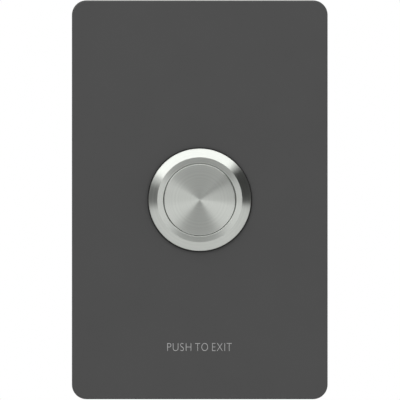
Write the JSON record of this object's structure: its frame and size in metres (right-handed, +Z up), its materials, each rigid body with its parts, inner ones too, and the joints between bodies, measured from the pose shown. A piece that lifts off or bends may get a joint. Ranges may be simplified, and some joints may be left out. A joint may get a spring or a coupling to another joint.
{
  "type": "door exit button",
  "caption": "Flush dark grey wall plate with a round stainless push button in its middle that closes a low voltage contact to release a door.",
  "frame": {"origin": "on the wall plane, on the button's axis, midway between the fixing screws", "axes": "+X to the right across the plate, +Y into the wall along the button's travel, +Z up"},
  "size_m": [0.075, 0.0323, 0.117],
  "materials": {
    "cover_plastic": "dark grey, moulded with a fine matt texture",
    "frame_plastic": "dark grey, as moulded",
    "stainless_steel": "turned, fine concentric marks",
    "black_rubber": "black silicone, smooth",
    "plated_steel": "bright zinc plate",
    "plated_brass": "nickel plated",
    "spring_steel": "drawn stainless wire",
    "terminal_brass": "stamped, satin",
    "contact_silver": "fine silver, cold headed",
    "plunger_plastic": "natural acetal, as moulded",
    "base_plastic": "black glass filled polyester, as moulded",
    "legend_ink": "light grey pad printing ink"
  },
  "bodies": {
    "wall_unit": {"cover_plate": "cover_plastic", "mounting_frame": "frame_plastic", "mounting_screws": "plated_steel", "panel_gasket": "black_rubber", "bezel_housing": "stainless_steel", "lock_washer": "plated_steel", "lock_nut": "plated_brass", "stem_seal": "black_rubber", "return_spring": "spring_steel", "fixed_tips": "contact_silver", "left_terminal": "terminal_brass", "right_terminal": "terminal_brass", "wire_clamps": "plated_steel", "terminal_screws": "plated_brass", "terminal_base": "base_plastic", "base_ring": "spring_steel"},
    "push_button": {"push_cap": "stainless_steel", "plunger": "plunger_plastic", "retaining_clip": "spring_steel"},
    "moving_contact": {"contact_bridge": "terminal_brass", "bridge_tips": "contact_silver", "contact_spring": "spring_steel"}
  },
  "joints": [
    {"name": "button_press", "type": "slide", "parent": "wall_unit", "child": "push_button", "axis": [0, 1, 0], "range_m": [0, 0.0025], "stiffness_N_per_m": 160, "springref_m": -0.019, "deforming": ["return_spring"]},
    {"name": "bridge_travel", "type": "slide", "parent": "wall_unit", "child": "moving_contact", "axis": [0, 1, 0], "range_m": [0, 0.00151], "deforming": ["contact_spring"]}
  ],
  "couplings": [
    {"joint": "bridge_travel", "follows": "button_press", "ratio": 0.6}
  ]
}
